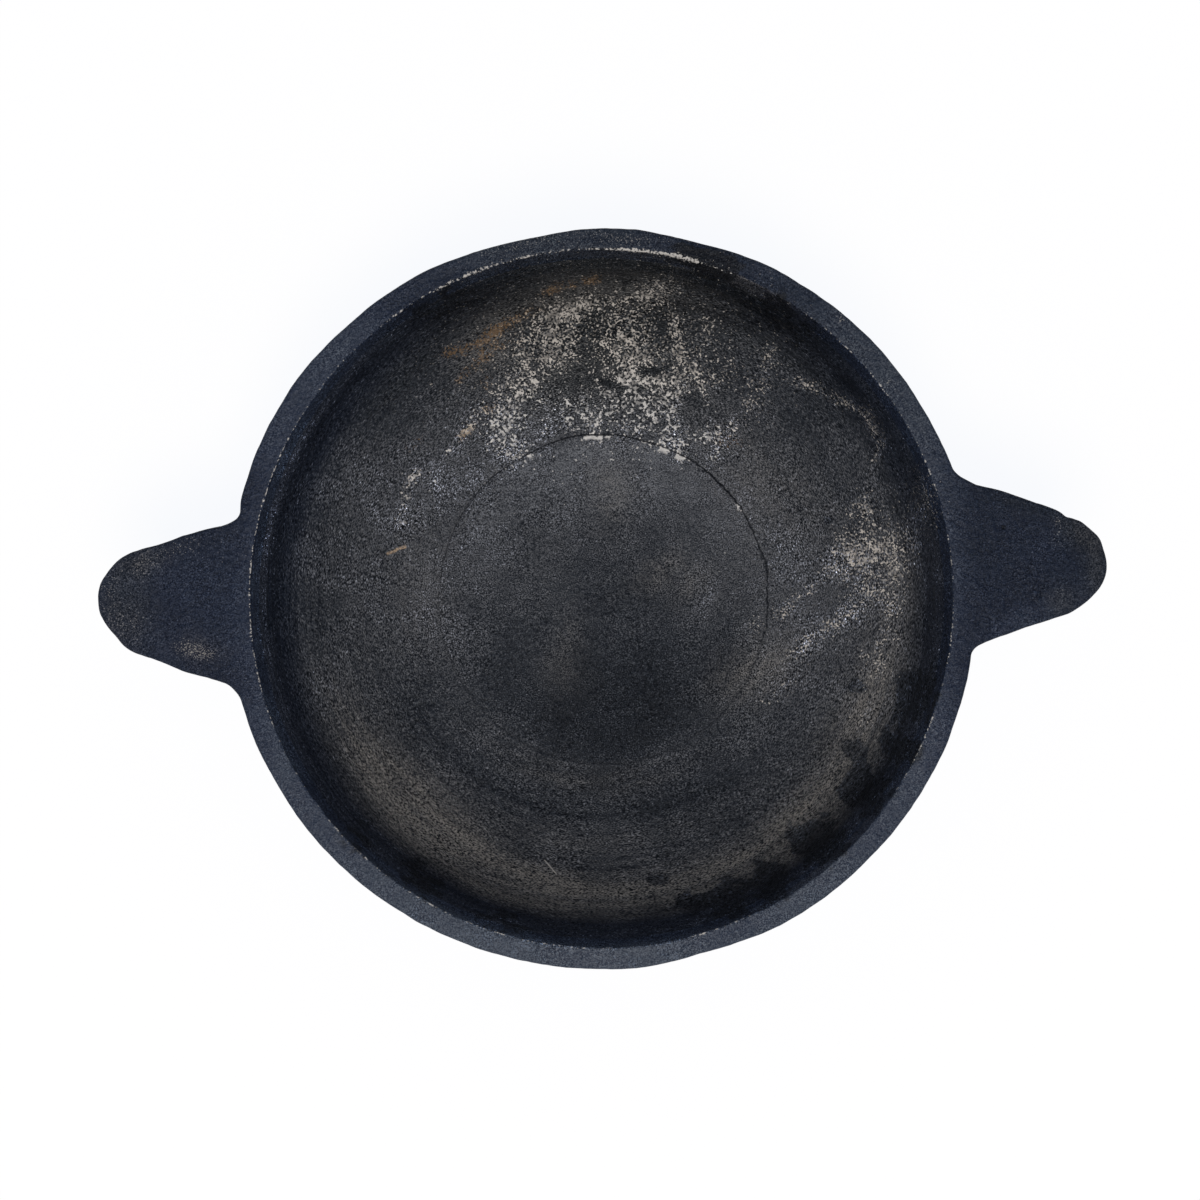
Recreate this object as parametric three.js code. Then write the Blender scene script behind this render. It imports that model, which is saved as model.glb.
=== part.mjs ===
// A two-handled cast-iron pan: a flat floor disc, a shallow dish, a steep side wall,
// a flat-topped rim and two flat lugs, one on each side. The real pan is poured in one go,
// so each member below meets its neighbour face to face, with no clearance.
//
// Millimetres, +Z up. The origin is the centre of the flat underside. The lugs point along X.

import * as THREE from "three";

// Rim
const RIM_OUTER_RADIUS = 127;
const RIM_WIDTH = 8; // at its flat top
const RIM_HEIGHT = 8;

// Bowl, measured on its inside
const BOWL_DEPTH = 58; // from the rim's top down to the floor
const FLOOR_RADIUS = 61;
const FLOOR_THICKNESS = 6.5;
const FLOOR_STEP = 0.4; // the floor stands this much above the start of the dish
const DISH_RADIUS = 106; // where the dish breaks into the side wall
const DISH_START_SLOPE = 4; // degrees above level
const DISH_END_SLOPE = 32;
const WALL_FOOT_SLOPE = 50;
const WALL_TOP_SLOPE = 77;
const WALL_FOOT_PULL = 14; // how far each slope holds along the wall's curve
const WALL_TOP_PULL = 18;
const WALL_THICKNESS = 5.5;

// Lugs
const LUG_REACH = 44; // from the rim's outside to the tip
const LUG_TIP_RADIUS = 18.6;
const LUG_TAPER = 18.5; // degrees between each side and the lug's own axis
const LUG_TIP_THICKNESS = 6.5; // the root is as thick as the rim
const LUG_ROOT_FILLET = 9; // in plan, between the lug's side and the rim
const LUG_ROOT_LAND = 1; // straight stretch past the fillets, up to the lug's joint
const LEFT_LUG_OFFSET = -1; // how far each lug's axis lies from the pan's centre
const RIGHT_LUG_OFFSET = 11.5;

// Facets
const RING_SEGMENTS = 96;
const CURVE_STEPS = 7;
const FILLET_STEPS = 6;
const TIP_STEPS = 20;

const HEIGHT = FLOOR_THICKNESS + BOWL_DEPTH;
const RIM_UNDERSIDE = HEIGHT - RIM_HEIGHT;
const RIM_INNER_RADIUS = RIM_OUTER_RADIUS - RIM_WIDTH;
const DISH_START_HEIGHT = FLOOR_THICKNESS - FLOOR_STEP;

const point = (x, y) => new THREE.Vector2(x, y);
const radians = THREE.MathUtils.degToRad;
const along = (degrees) => point(Math.cos(radians(degrees)), Math.sin(radians(degrees)));
const outward = (degrees) => point(Math.sin(radians(degrees)), -Math.cos(radians(degrees)));

// Points on a circle's arc, both ends included.
function arcPoints(centre, radius, start, end, steps) {
  return Array.from({ length: steps + 1 }, (_, i) => {
    const angle = start + ((end - start) * i) / steps;
    return point(centre.x + radius * Math.cos(angle), centre.y + radius * Math.sin(angle));
  });
}

// A solid turned about Z from a profile of (radius, height) points.
function turned(profile) {
  return new THREE.LatheGeometry(profile, RING_SEGMENTS).rotateX(Math.PI / 2);
}

// The bowl's inside, as two curves in (radius, height): the dish is an arc whose slope grows
// from its start to its end, and the wall is a curve that leaves it at a crease.
const dishArcRadius =
  (DISH_RADIUS - FLOOR_RADIUS) /
  (Math.sin(radians(DISH_END_SLOPE)) - Math.sin(radians(DISH_START_SLOPE)));
const dishSlopes = Array.from(
  { length: CURVE_STEPS + 1 },
  (_, i) => DISH_START_SLOPE + ((DISH_END_SLOPE - DISH_START_SLOPE) * i) / CURVE_STEPS,
);
const dishArcCentre = point(FLOOR_RADIUS, DISH_START_HEIGHT).addScaledVector(
  outward(DISH_START_SLOPE),
  -dishArcRadius,
);
const dishInside = dishSlopes.map((slope) =>
  dishArcCentre.clone().addScaledVector(outward(slope), dishArcRadius),
);

const crease = dishInside[CURVE_STEPS];
const rimInnerFoot = point(
  RIM_INNER_RADIUS - RIM_HEIGHT / Math.tan(radians(WALL_TOP_SLOPE)),
  RIM_UNDERSIDE,
);
const wallCurve = new THREE.CubicBezierCurve(
  crease,
  crease.clone().addScaledVector(along(WALL_FOOT_SLOPE), WALL_FOOT_PULL),
  rimInnerFoot.clone().addScaledVector(along(WALL_TOP_SLOPE), -WALL_TOP_PULL),
  rimInnerFoot,
);
const wallInside = wallCurve.getPoints(CURVE_STEPS);

// The bowl's outside follows the inside at the wall's thickness. The two members share the
// crease's outer point, which lies on the line that halves the angle of the crease.
const creaseHalfTurn = (WALL_FOOT_SLOPE - DISH_END_SLOPE) / 2;
const creaseOutside = crease
  .clone()
  .addScaledVector(
    outward(DISH_END_SLOPE + creaseHalfTurn),
    WALL_THICKNESS / Math.cos(radians(creaseHalfTurn)),
  );
const dishOutside = dishInside.map((inside, i) =>
  inside.clone().addScaledVector(outward(dishSlopes[i]), WALL_THICKNESS),
);
dishOutside[0].x = FLOOR_RADIUS;
dishOutside[CURVE_STEPS] = creaseOutside;
const wallOutside = wallInside.map((inside, i) => {
  const tangent = wallCurve.getTangent(i / CURVE_STEPS);
  return inside.clone().add(point(tangent.y, -tangent.x).multiplyScalar(WALL_THICKNESS));
});
wallOutside[0] = creaseOutside;
wallOutside[CURVE_STEPS] = point(
  rimInnerFoot.x + WALL_THICKNESS / Math.sin(radians(WALL_TOP_SLOPE)),
  RIM_UNDERSIDE,
);

function baseDiscGeometry() {
  return turned([
    point(0, 0),
    point(FLOOR_RADIUS, 0),
    point(FLOOR_RADIUS, dishOutside[0].y),
    point(FLOOR_RADIUS, FLOOR_THICKNESS),
    point(0, FLOOR_THICKNESS),
  ]);
}

// A ring between an inside and an outside curve.
function shellGeometry(inside, outside) {
  return turned([...outside, ...inside.toReversed(), outside[0]]);
}

// One lug's plan, in its own axes: u runs out from the pan's centre and v to one side. Each side
// is a straight line tangent to the round tip, and a fillet joins it to the rim.
function lugPlan(offset) {
  const side = along(90 - LUG_TAPER);
  const tipCentre = RIM_OUTER_RADIUS + LUG_REACH - LUG_TIP_RADIUS;
  const halfWidth = (u, clear = 0) => (LUG_TIP_RADIUS + clear - (u - tipCentre) * side.x) / side.y;

  // The fillet's centre lies one fillet radius from both the side's line and the rim's circle.
  const fillet = (sign) => {
    const shift = sign * offset;
    const reach = RIM_OUTER_RADIUS + LUG_ROOT_FILLET;
    const rise = side.x / side.y;
    const v0 = halfWidth(0, LUG_ROOT_FILLET) + shift;
    const a = 1 + rise * rise;
    const u = (v0 * rise + Math.sqrt(v0 * v0 * rise * rise - a * (v0 * v0 - reach * reach))) / a;
    const centre = point(u, halfWidth(u, LUG_ROOT_FILLET));
    const towardRim = Math.atan2(-(centre.y + shift), -centre.x);
    const towardSide = Math.atan2(-side.y, -side.x);
    return arcPoints(centre, LUG_ROOT_FILLET, towardRim, towardSide, FILLET_STEPS).map((p) =>
      point(p.x, sign * p.y),
    );
  };
  const left = fillet(1);
  const right = fillet(-1);
  const joint = Math.max(left[FILLET_STEPS].x, right[FILLET_STEPS].x) + LUG_ROOT_LAND;
  const jointHalfWidth = halfWidth(joint);
  const tipTurn = radians(90 - LUG_TAPER);
  const tip = arcPoints(point(tipCentre, 0), LUG_TIP_RADIUS, -tipTurn, tipTurn, TIP_STEPS);
  return {
    joint,
    stub: [...right, point(joint, -jointHalfWidth), point(joint, jointHalfWidth), ...left.toReversed()],
    blade: [point(joint, -jointHalfWidth), ...tip, point(joint, jointHalfWidth)],
  };
}

// The rim in plan: a circle with a stub for each lug, as the two lugs' fillets run into it.
function rimOutline(rightPlan, leftPlan) {
  const right = rightPlan.stub.map((p) => point(p.x, p.y + RIGHT_LUG_OFFSET));
  const left = leftPlan.stub.map((p) => point(-p.x, -p.y + LEFT_LUG_OFFSET));
  const angleOf = (p) => Math.atan2(p.y, p.x);
  const between = (from, to) => {
    const start = angleOf(from);
    const turn = THREE.MathUtils.euclideanModulo(angleOf(to) - start, 2 * Math.PI);
    const steps = Math.round((turn / (2 * Math.PI)) * RING_SEGMENTS);
    return arcPoints(point(0, 0), RIM_OUTER_RADIUS, start, start + turn, steps).slice(1, -1);
  };
  return [
    ...right,
    ...between(right.at(-1), left[0]),
    ...left,
    ...between(left.at(-1), right[0]),
  ];
}

// The hole's facets line up with those of the turned members below it, and it narrows downward
// at the wall's slope.
function rimGeometry(rightPlan, leftPlan) {
  const shape = new THREE.Shape(rimOutline(rightPlan, leftPlan));
  const turn = (2 * Math.PI) / RING_SEGMENTS;
  const hole = Array.from({ length: RING_SEGMENTS }, (_, i) =>
    point(Math.sin(i * turn), -Math.cos(i * turn)).multiplyScalar(RIM_INNER_RADIUS),
  );
  shape.holes.push(new THREE.Path(hole));
  const geometry = new THREE.ExtrudeGeometry(shape, { depth: RIM_HEIGHT, bevelEnabled: false });
  const position = geometry.attributes.position;
  const middle = RIM_INNER_RADIUS + RIM_WIDTH / 2;
  for (let i = 0; i < position.count; i++) {
    const radius = Math.hypot(position.getX(i), position.getY(i));
    if (radius < middle && position.getZ(i) < RIM_HEIGHT / 2) {
      const narrower = rimInnerFoot.x / RIM_INNER_RADIUS;
      position.setXY(i, position.getX(i) * narrower, position.getY(i) * narrower);
    }
  }
  return geometry;
}

// The lug is flush with the rim on top and thins underneath, from the joint to the tip.
function lugGeometry(plan) {
  const shape = new THREE.Shape(plan.blade);
  const geometry = new THREE.ExtrudeGeometry(shape, { depth: RIM_HEIGHT, bevelEnabled: false });
  const position = geometry.attributes.position;
  const length = RIM_OUTER_RADIUS + LUG_REACH - plan.joint;
  for (let i = 0; i < position.count; i++) {
    if (position.getZ(i) < RIM_HEIGHT / 2) {
      const share = (position.getX(i) - plan.joint) / length;
      position.setZ(i, share * (RIM_HEIGHT - LUG_TIP_THICKNESS));
    }
  }
  return geometry;
}

// Seasoned iron: blue-black outside and on the rim, duller and darker inside the bowl.
const rimIron = new THREE.MeshStandardMaterial({ color: 0x343a43, roughness: 0.62, metalness: 0.35 });
const bowlIron = new THREE.MeshStandardMaterial({ color: 0x2f3134, roughness: 0.72, metalness: 0.3 });

function member(name, geometry, material) {
  const mesh = new THREE.Mesh(geometry, material);
  mesh.name = name;
  return mesh;
}

const rightPlan = lugPlan(RIGHT_LUG_OFFSET);
const leftPlan = lugPlan(-LEFT_LUG_OFFSET);

const bowl = new THREE.Group();
bowl.add(
  member("base_disc", baseDiscGeometry(), bowlIron),
  member("dish", shellGeometry(dishInside, dishOutside), bowlIron),
  member("side_wall", shellGeometry(wallInside, wallOutside), bowlIron),
);

const rimLevel = new THREE.Group();
rimLevel.position.z = RIM_UNDERSIDE;
const leftLug = member("left_lug", lugGeometry(leftPlan), rimIron);
leftLug.position.y = LEFT_LUG_OFFSET;
leftLug.rotation.z = Math.PI;
const rightLug = member("right_lug", lugGeometry(rightPlan), rimIron);
rightLug.position.y = RIGHT_LUG_OFFSET;
rimLevel.add(member("rim_band", rimGeometry(rightPlan, leftPlan), rimIron), leftLug, rightLug);

const pan = new THREE.Group();
pan.add(bowl, rimLevel);

export default pan;
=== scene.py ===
"""The looks of a two-handled cast-iron pan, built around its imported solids.

Lengths here are in millimetres until a mesh is made, and the axes are the frame's: +Z up, with the
lugs along X. Angles run anticlockwise from +X, seen from above.
"""

import itertools
import math

import bmesh
import bpy
import numpy as np
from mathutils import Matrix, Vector


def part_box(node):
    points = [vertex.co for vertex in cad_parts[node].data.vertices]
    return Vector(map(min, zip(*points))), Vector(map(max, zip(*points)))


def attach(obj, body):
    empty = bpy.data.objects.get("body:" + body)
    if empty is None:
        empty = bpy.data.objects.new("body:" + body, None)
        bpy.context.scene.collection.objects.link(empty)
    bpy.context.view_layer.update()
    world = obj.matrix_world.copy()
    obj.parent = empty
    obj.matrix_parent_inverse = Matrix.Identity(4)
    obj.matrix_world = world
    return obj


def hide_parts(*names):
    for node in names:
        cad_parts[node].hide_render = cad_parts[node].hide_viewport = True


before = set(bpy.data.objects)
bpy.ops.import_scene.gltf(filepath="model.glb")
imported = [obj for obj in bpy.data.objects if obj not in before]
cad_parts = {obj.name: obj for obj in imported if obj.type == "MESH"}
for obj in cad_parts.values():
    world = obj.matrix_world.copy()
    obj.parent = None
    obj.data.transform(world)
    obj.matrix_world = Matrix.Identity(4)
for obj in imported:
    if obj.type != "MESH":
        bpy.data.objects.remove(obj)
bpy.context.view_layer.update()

MM = 0.001


def low_corner(node):
    """The lowest x, y and z of a solid, in millimetres."""
    return np.array(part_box(node)[0]) / MM


def high_corner(node):
    """The highest x, y and z of a solid, in millimetres."""
    return np.array(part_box(node)[1]) / MM


# Sizes that the solids give
FLOOR_RADIUS, _, FLOOR_TOP = high_corner("base_disc")
RIM_TOP = high_corner("rim_band")[2]
RIM_UNDERSIDE = low_corner("rim_band")[2]
LUG_TIP = high_corner("right_lug")[0]
RIGHT_JOINT = low_corner("right_lug")[0]
LEFT_JOINT = -high_corner("left_lug")[0]

# Sizes that the solids were drawn to
RIM_OUTER_RADIUS = 127.0
RIM_INNER_RADIUS = 119.0
WALL_THICKNESS = 5.5
FLOOR_STEP = 0.4
DISH_START_SLOPE = math.radians(4)
DISH_END_SLOPE = math.radians(32)
WALL_FOOT_SLOPE = math.radians(50)
WALL_TOP_SLOPE = math.radians(77)
WALL_FOOT_PULL = 14.0
WALL_TOP_PULL = 18.0
LUG_TIP_RADIUS = 18.6
LUG_TIP_THICKNESS = 6.5
LUG_TAPER = math.radians(18.5)
RIGHT_LUG_OFFSET = 11.5
LEFT_LUG_OFFSET = -1.0

# What the hand moulding left: rounded edges, uneven fillets and an outline that isn't quite round
EDGE_ROUND = 1.1
INNER_EDGE_ROUND = 0.7
FOOT_ROUND = 0.35
RIM_FILLET = 2.5
DISH_RADIUS = 107.5  # the crease at the wall's foot, 1.5 mm further out than in the solids
RIGHT_LUG_FILLETS = (4.8, 7.0)  # on the lower and on the upper side, as seen from above
LEFT_LUG_FILLETS = (3.0, 10.0)  # on the upper and on the lower side
OVAL = 0.42  # the mouth is this much wider than round along X, and narrower along Y
FLOOR_SHIFT = (0.8, -0.3)  # the floor's ring line isn't quite in the middle
FLOOR_SHRINK = 1.4  # and it is a little smaller than the foot below it
FLOOR_STEP_TOP = 0.35  # how far the floor disc stands above its nominal height on its +Y side
FLOOR_STEP_BOTTOM = -0.35  # and on its -Y side
# Flat places ground on the rim's outside: angle, half-angle, depth
RIM_FLATS = (
    (76, 9, 1.25),
    (103, 12, 1.7),
    (147, 13, -0.5),
    (262, 24, 0.65),
    (287, 7, 1.1),
)
# Where the rim's inner edge stands out or in, and where it is rounder: angle, half-angle, distance
INNER_EDGE_MARKS = ((315, 16, 0.5), (346, 14, -0.25))
ROUNDER_EDGES = ((75.5, 4, 1), (100, 16, 0.4))

# How finely the surfaces are made
STEP = 1.0
TURN_STEPS = 720
LUG_STEPS = 132
JOINT_STEPS = 4  # across the faces where the dish, the wall and the rim meet
DISC_STEPS = 51  # from the floor's middle to its edge
RIM_TOP_STEPS = 9
RIM_UNDER_STEPS = 8
LUG_TOP_STEPS = 29
LUG_UNDER_STEPS = 23
ANGLES = np.linspace(0, 2 * math.pi, TURN_STEPS, endpoint=False)
TOP_TURNS = np.radians((0, 18, 36, 54, 72, 90))  # round an upper edge, from the top to the side
UNDER_TURNS = np.radians((90, 67.5, 45, 22.5, 0))  # round a lower edge, from the side to the underside
SHARP_ANGLE = math.radians(40)
# Noise that runs round the pan is read along circles of these sizes
RIM_NOISE_CIRCLE = 30
FLOOR_NOISE_CIRCLE = 9


def noise(points, size, seed):
    """Smooth noise from -1 to 1 at each point, with features about `size` across."""
    cells = points / size
    low = np.floor(cells).astype(np.int64)
    part = cells - low
    fade = part * part * (3 - 2 * part)
    total = np.zeros(points.shape[:-1])
    primes = (73856093, 19349663, 83492791)
    for corner in itertools.product((0, 1), repeat=points.shape[-1]):
        mixed = np.full(total.shape, seed * 2654435761, np.int64)
        weight = np.ones(total.shape)
        for axis, step in enumerate(corner):
            mixed ^= (low[..., axis] + step) * primes[axis]
            weight *= fade[..., axis] if step else 1 - fade[..., axis]
        mixed = (mixed ^ (mixed >> 13)) * 1274126177
        mixed = (mixed ^ (mixed >> 16)) & 0xFFFF
        total += weight * (mixed / 32767.5 - 1)
    return total


def ramp(value, start, end):
    """0 at start, 1 at end, and smooth between them."""
    share = np.clip((value - start) / (end - start), 0, 1)
    return share * share * (3 - 2 * share)


def band(value, centre, half_width):
    """1 at a centre value, falling smoothly to 0 on both sides."""
    return np.exp(-(((value - centre) / half_width) ** 2))


def hump(angle, centre, half_width):
    """1 at a centre angle in degrees, falling smoothly to 0 on both sides."""
    away = (np.degrees(angle) - centre + 180) % 360 - 180
    return band(away, 0, half_width)


def round_marks(angle, rows):
    """The sum of soft marks round the pan: angle, half-angle, amount."""
    return sum(amount * hump(angle, centre, half_width) for centre, half_width, amount in rows)


def turned_axes(x, y, turn):
    """How far points lie along and across a line through the origin, turned by degrees from X."""
    c, s = math.cos(math.radians(turn)), math.sin(math.radians(turn))
    return x * c + y * s, y * c - x * s


def plan_marks(x, y, rows):
    """The sum of soft oval marks: centre x, y, half-length, half-width, turn in degrees, strength."""
    total = np.zeros(x.shape)
    for centre_x, centre_y, length, width, turn, strength in rows:
        along, across = turned_axes(x - centre_x, y - centre_y, turn)
        total += strength * np.exp(-((along / length) ** 2 + (across / width) ** 2))
    return total


def even_steps(line, step):
    """The same line with points an even step apart."""
    lengths = np.concatenate([[0], np.cumsum(np.linalg.norm(np.diff(line, axis=0), axis=1))])
    places = np.linspace(0, lengths[-1], max(2, round(lengths[-1] / step) + 1))
    return np.stack([np.interp(places, lengths, line[:, k]) for k in range(2)], axis=-1)


def toward(angle):
    """The directions at angles, as x and y."""
    return np.stack([np.cos(angle), np.sin(angle)], axis=-1)


def at_height(points, height):
    """Points of the plan as x, y and z."""
    return np.concatenate([points, np.broadcast_to(height, points.shape[:-1])[..., None]], axis=-1)


def turned(radius, angle, height):
    """Points at radii, angles and heights, as x, y and z."""
    return at_height(radius[..., None] * toward(angle), height)


# The bowl's section, as (radius, height)


def bowl_section():
    """The inside from the floor's edge to the rim's foot, its normals into the bowl, and the crease."""
    slopes = np.linspace(DISH_START_SLOPE, DISH_END_SLOPE, 40)
    arc = (DISH_RADIUS - FLOOR_RADIUS) / (math.sin(DISH_END_SLOPE) - math.sin(DISH_START_SLOPE))
    dish = np.stack(
        [
            FLOOR_RADIUS + arc * (np.sin(slopes) - math.sin(DISH_START_SLOPE)),
            FLOOR_TOP - FLOOR_STEP + arc * (math.cos(DISH_START_SLOPE) - np.cos(slopes)),
        ],
        axis=-1,
    )
    foot = np.array([rim_foot_radius(), RIM_UNDERSIDE])
    rise = WALL_FOOT_PULL * toward(WALL_FOOT_SLOPE)
    drop = WALL_TOP_PULL * toward(WALL_TOP_SLOPE)
    t = np.linspace(0, 1, 60)[:, None]
    wall = (
        (1 - t) ** 3 * dish[-1]
        + 3 * (1 - t) ** 2 * t * (dish[-1] + rise)
        + 3 * (1 - t) * t**2 * (foot - drop)
        + t**3 * foot
    )
    inside = even_steps(np.concatenate([dish, wall[1:]]), STEP)
    for _ in range(2):  # softens the crease
        inside[1:-1] = inside[1:-1] / 2 + (inside[:-2] + inside[2:]) / 4
    tangent = np.gradient(inside, axis=0)
    tangent /= np.linalg.norm(tangent, axis=1, keepdims=True)
    normal = np.stack([-tangent[:, 1], tangent[:, 0]], axis=-1)
    crease = int(np.argmin(abs(inside[:, 0] - DISH_RADIUS)))
    return inside, normal, crease


def rim_foot_radius():
    """The inside's radius at the rim's underside."""
    return RIM_INNER_RADIUS - (RIM_TOP - RIM_UNDERSIDE) / math.tan(WALL_TOP_SLOPE)


def oval_shift(radius, angle):
    """How far out a place lies because the mouth isn't quite round."""
    return OVAL * np.cos(2 * angle) * ramp(radius, FLOOR_RADIUS, RIM_INNER_RADIUS)


def floor_shift(radius, angle):
    """How far the floor's ring line and what is near it lie off the pan's centre."""
    circle = FLOOR_NOISE_CIRCLE * toward(angle)
    shift = FLOOR_SHIFT[0] * np.cos(angle) + FLOOR_SHIFT[1] * np.sin(angle) - FLOOR_SHRINK
    shift = shift + 0.45 * noise(circle, 1.6, 41) + 0.2 * noise(circle, 0.5, 42)
    return shift * ramp(radius, 20, FLOOR_RADIUS) * ramp(radius, FLOOR_RADIUS + 18, FLOOR_RADIUS)


# The casting's skin

# Faint rings that sweeping the mould left: radius, height, half-width
SWEEP_RINGS = (
    (68, 0.1, 1.6),
    (78.5, -0.14, 0.9),
    (86, 0.08, 1.4),
    (94.5, -0.12, 0.8),
    (107.5, -0.16, 0.9),
)
# Scabs and pits: centre x, y, half-length, half-width, turn, height
SKIN_MARKS = (
    (17.5, 82.5, 5, 1.7, 8, -0.8),
    (2, 79.5, 3.6, 1.3, -25, -0.7),
    (-21, 68, 3.6, 1.3, 15, -0.6),
    (29.5, 80.5, 3.2, 1.2, -50, -0.6),
    (-8, 73, 4, 1.4, 10, -0.4),
    (12, 88, 5, 2, 20, 0.4),
    (23, 70, 5, 2.5, -30, 0.4),
    (81.5, 28.5, 1.5, 1.3, 0, -0.6),
    (91, 62, 1.3, 1.1, 0, -0.5),
    (-107.5, 37, 2.6, 2.2, 30, 0.55),
    (-62, -38, 1.4, 1.2, 0, -0.45),
    (-31, -70, 1.3, 1.1, 0, -0.4),
    (14, -44, 1.5, 1.2, 30, -0.4),
    (47, -18, 1.4, 1.1, 0, -0.4),
    (-12, 12, 1.6, 1.2, 60, -0.35),
    (136.5, 24.5, 1.4, 1.2, 0, -0.5),
)
# Where the skin is scabby: centre x, y, half-length, half-width, turn, strength
SCABBY_PATCHES = (
    (4, 80, 34, 20, 0, 1),
    (92, 18, 16, 12, 40, 0.6),
    (60, 70, 24, 16, -45, 0.6),
    (-62, 62, 26, 18, 45, 0.9),
    (-88, 20, 14, 34, 0, 0.6),
)


def cast_skin(points):
    """The uneven skin that every face of the casting has, as a height."""
    return 0.18 * noise(points, 27, 1) + 0.13 * noise(points, 8.5, 2) + 0.08 * noise(points, 3.1, 3)


def bowl_skin(points):
    """The skin inside the bowl, with its swept rings and marks."""
    x, y = points[..., 0], points[..., 1]
    radius = np.hypot(x, y)
    height = cast_skin(points)
    wander = 1.6 * noise(points, 33, 4) + 0.35 * noise(points, 7, 5)
    swept = ramp(radius, 58, 66)
    height += 0.06 * swept * np.sin(2 * math.pi * (radius + wander) / 4.6) * (1 + noise(points, 20, 6))
    wall = ramp(points[..., 2], 26, 34) * (0.5 - 0.5 * x / RIM_INNER_RADIUS)
    height += 0.24 * wall * np.sin(2 * math.pi * (points[..., 2] + 2 * wander) / 6.0)
    scabs = plan_marks(x, y, SCABBY_PATCHES)
    height += scabs * (0.16 * noise(points, 5.5, 8) + 0.10 * noise(points, 2.6, 9))
    patchy = 0.6 + 0.6 * noise(points, 30, 7)
    for ring, rise, half_width in SWEEP_RINGS:
        height += rise * patchy * band(radius + wander, ring, half_width)
    return height + plan_marks(x, y, SKIN_MARKS)


def turn_section(section, normal, skin):
    """A section turned about Z and given its skin: an array of stations by angles by x, y, z."""
    angle = ANGLES[None, :]
    height = section[:, 1:]
    radius = section[:, :1] + oval_shift(section[:, :1], angle) + floor_shift(section[:, :1], angle)
    lift = skin(turned(radius, angle, height))
    return turned(radius + normal[:, :1] * lift, angle, height + normal[:, 1:] * lift)


# The rim's and the lugs' outline, seen from above


def rim_circle(angle):
    """How far the rim's outside stands from its nominal radius."""
    return OVAL * np.cos(2 * angle) - round_marks(angle, RIM_FLATS)


def below_flats(points):
    """Points of the bowl's outside, drawn in where the rim above them has a flat place."""
    angle = np.arctan2(points[..., 1], points[..., 0])
    inset = np.maximum(round_marks(angle, RIM_FLATS), 0)
    inset = inset * ramp(points[..., 2], RIM_UNDERSIDE - 12, RIM_UNDERSIDE)
    share = 1 - inset / np.hypot(points[..., 0], points[..., 1])
    return points * np.stack([share, share, np.ones_like(share)], axis=-1)


# Where a lug's edge stands in or out: centre x, y, half-length, half-width, turn, distance
LUG_EDGE_MARKS = (
    (-146, 20, 18, 8, 18, -0.9),
    (-127, 27, 6, 5, 18, -1.3),
    (-143, 21.5, 3, 3, 18, 0.4),
    (-165.5, -12, 6, 6, 0, -1.4),
    (-141, -25, 7, 5, -18, 0.5),
    (-171, 3, 4, 5, 0, 0.4),
    (159.5, 27.5, 4, 4, 0, -1),
    (165, 24, 4, 4, 0, -0.4),
    (169, 21, 3, 3, 0, 0.5),
    (171.5, 9, 4, 9, 0, 0.9),
    (148, -8.5, 20, 7, 18, -0.9),
    (162.5, -2.5, 5, 5, 0, -0.6),
    (128, 38, 5, 4, -18, -0.9),
    (158.3, 28.5, 1.3, 2, 0, -0.5),
)


def edge_wave(points):
    """How far the outline stands out from the pattern's own line."""
    small = 0.20 * noise(points, 13, 11) + 0.12 * noise(points, 4.2, 12) + 0.05 * noise(points, 1.7, 13)
    return small + plan_marks(points[..., 0], points[..., 1], LUG_EDGE_MARKS)


def lug_half_width(u, clear=0.0):
    """Half a lug's width at u, its distance out from the pan's centre, before its round tip."""
    centre = LUG_TIP - LUG_TIP_RADIUS
    return (LUG_TIP_RADIUS + clear - (u - centre) * math.sin(LUG_TAPER)) / math.cos(LUG_TAPER)


def lug_root(fillet, shift, joint):
    """One side of a lug, from the rim's circle round the fillet to the joint, with its normals.

    v runs to that side from the lug's own axis, which lies `shift` to that side of the pan's centre.
    """
    rise = math.tan(LUG_TAPER)
    start = lug_half_width(0, fillet) + shift
    reach = RIM_OUTER_RADIUS + fillet
    a = 1 + rise * rise
    u = (start * rise + math.sqrt((start * rise) ** 2 - a * (start * start - reach * reach))) / a
    centre = np.array([u, lug_half_width(u, fillet)])
    toward_rim = math.atan2(-(centre[1] + shift), -centre[0])
    toward_side = math.atan2(-math.cos(LUG_TAPER), -math.sin(LUG_TAPER))
    facing = toward(np.linspace(toward_rim, toward_side, 18))
    arc = centre + fillet * facing
    side = np.array([math.sin(LUG_TAPER), math.cos(LUG_TAPER)])
    straight = np.linspace(arc[-1, 0], joint, 5)[1:-1]
    line = np.stack([straight, lug_half_width(straight)], axis=-1)
    return np.concatenate([arc, line]), np.concatenate([-facing, np.tile(side, (len(line), 1))])


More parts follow.
